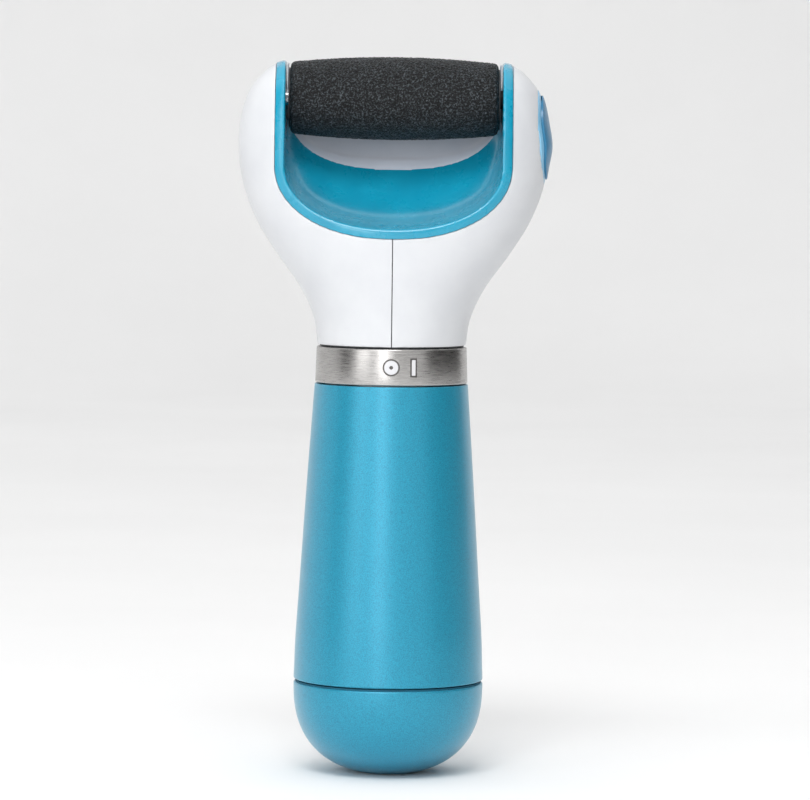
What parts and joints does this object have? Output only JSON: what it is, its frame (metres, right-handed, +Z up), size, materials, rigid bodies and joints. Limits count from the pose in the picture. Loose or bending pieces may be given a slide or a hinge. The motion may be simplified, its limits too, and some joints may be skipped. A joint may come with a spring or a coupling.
{
  "type": "electric callus remover",
  "caption": "Hand-held battery foot file: flared white head with a spinning mineral roller between its arms, metal switch collar and satin handle with a domed battery cap.",
  "frame": {"origin": "centre of the flat foot under the battery cap", "axes": "+Z up the handle to the roller, -Y the front with the open bay and the switch marks, +X to the right seen from the front, along the roller's axis"},
  "size_m": [0.077, 0.0464, 0.175],
  "materials": {
    "white_shell": "satin gloss moulded plastic",
    "teal_satin": "pearlescent satin coating",
    "teal_liner": "satin moulded plastic",
    "grey_guard": "satin light grey",
    "collar_metal": "brushed around the ring",
    "collar_mark": "bright inlay",
    "mineral_grit": "coarse black mineral coating",
    "black_plastic": "matte",
    "button_blue": "satin",
    "bezel_blue": "satin",
    "seal_rubber": "matte",
    "dark_rubber": "matte",
    "inner_plastic": "matte glass-filled",
    "gear_plastic": "natural acetal",
    "shaft_steel": "ground",
    "bearing_bronze": "sintered bronze",
    "motor_steel": "zinc plated",
    "magnet_black": "ferrite",
    "armature_metal": "laminated iron with copper windings",
    "contact_metal": "nickel plated",
    "spring_steel": "bright wire",
    "board_green": "solder mask",
    "cell_jacket": "plain printed jacket",
    "wire_red": "insulation"
  },
  "bodies": {
    "housing": {"head_shell_left": "white_shell", "head_shell_right": "white_shell", "bay_liner": "teal_liner", "rear_guard": "grey_guard", "neck_seal": "dark_rubber", "handle_sleeve": "teal_satin", "inner_frame": "inner_plastic", "motor_mount": "inner_plastic", "motor_can": "motor_steel", "motor_end_bell": "black_plastic", "motor_terminals": "contact_metal", "motor_magnets": "magnet_black", "motor_screws": "shaft_steel", "motor_leads": "wire_red", "switch_board": "board_green", "switch_contacts": "contact_metal", "board_pillars": "inner_plastic", "battery_carrier": "inner_plastic", "battery_cells": "cell_jacket", "top_contacts": "contact_metal", "gear_bracket": "inner_plastic", "layshaft_bushes": "bearing_bronze", "arm_plate": "inner_plastic", "idler_axle": "shaft_steel", "spindle_bush": "black_plastic", "pin_guide": "black_plastic", "button_bezel": "bezel_blue", "lever_axle": "shaft_steel", "lever_bracket": "inner_plastic"},
    "roller": {"roller_sleeve": "mineral_grit", "roller_core": "black_plastic", "roller_end_left": "black_plastic", "roller_end_right": "black_plastic", "roller_bearing": "bearing_bronze", "drive_dog": "black_plastic", "drive_spindle": "shaft_steel", "drive_gear": "gear_plastic"},
    "idler": {"idler_gear": "gear_plastic"},
    "reduction": {"layshaft": "shaft_steel", "layshaft_gear": "gear_plastic", "arm_pinion": "gear_plastic"},
    "rotor": {"motor_shaft": "shaft_steel", "motor_armature": "armature_metal", "motor_pinion": "gear_plastic"},
    "collar": {"switch_collar": "collar_metal", "collar_marks": "collar_mark", "collar_wiper": "contact_metal"},
    "button": {"release_button": "button_blue", "button_spring": "spring_steel"},
    "lever": {"latch_lever": "inner_plastic"},
    "pin": {"retaining_pin": "black_plastic"},
    "cap": {"battery_cap": "teal_satin", "cap_contact_plate": "inner_plastic", "cap_springs": "spring_steel", "cap_seal": "seal_rubber"}
  },
  "joints": [
    {"name": "roller_spin", "type": "hinge", "parent": "housing", "child": "roller", "pos_m": [0, -0.002, 0.16485], "axis": [1, 0, 0], "continuous": true},
    {"name": "idler_spin", "type": "hinge", "parent": "housing", "child": "idler", "pos_m": [-0.03, 0.0025, 0.15265], "axis": [1, 0, 0], "continuous": true},
    {"name": "reduction_spin", "type": "hinge", "parent": "housing", "child": "reduction", "pos_m": [-0.03, 0.00358, 0.1407], "axis": [1, 0, 0], "continuous": true},
    {"name": "rotor_spin", "type": "hinge", "parent": "housing", "child": "rotor", "pos_m": [0, 0.006, 0.131], "axis": [1, 0, 0], "continuous": true},
    {"name": "collar_turn", "type": "hinge", "parent": "housing", "child": "collar", "pos_m": [0, 0, 0.1], "axis": [0, 0, -1], "range_deg": [0, 17]},
    {"name": "button_press", "type": "slide", "parent": "housing", "child": "button", "axis": [-1, 0, 0], "range_m": [0, 0.0016], "stiffness_N_per_m": 1500, "springref_m": -0.0005},
    {"name": "lever_rock", "type": "hinge", "parent": "housing", "child": "lever", "pos_m": [0.03105, -0.0005, 0.1604], "axis": [0, 1, 0], "range_deg": [0, 21.01]},
    {"name": "pin_retract", "type": "slide", "parent": "housing", "child": "pin", "axis": [1, 0, 0], "range_m": [0, 0.0016]},
    {"name": "cap_pull", "type": "slide", "parent": "housing", "child": "cap", "axis": [0, 0, -1], "range_m": [0, 0.04]}
  ],
  "couplings": [
    {"joint": "idler_spin", "follows": "roller_spin", "ratio": -0.36842},
    {"joint": "reduction_spin", "follows": "roller_spin", "ratio": 1.4},
    {"joint": "rotor_spin", "follows": "roller_spin", "ratio": -2.6},
    {"joint": "lever_rock", "follows": "button_press", "rad_per_m": 229.07},
    {"joint": "pin_retract", "follows": "button_press", "ratio": 1}
  ]
}
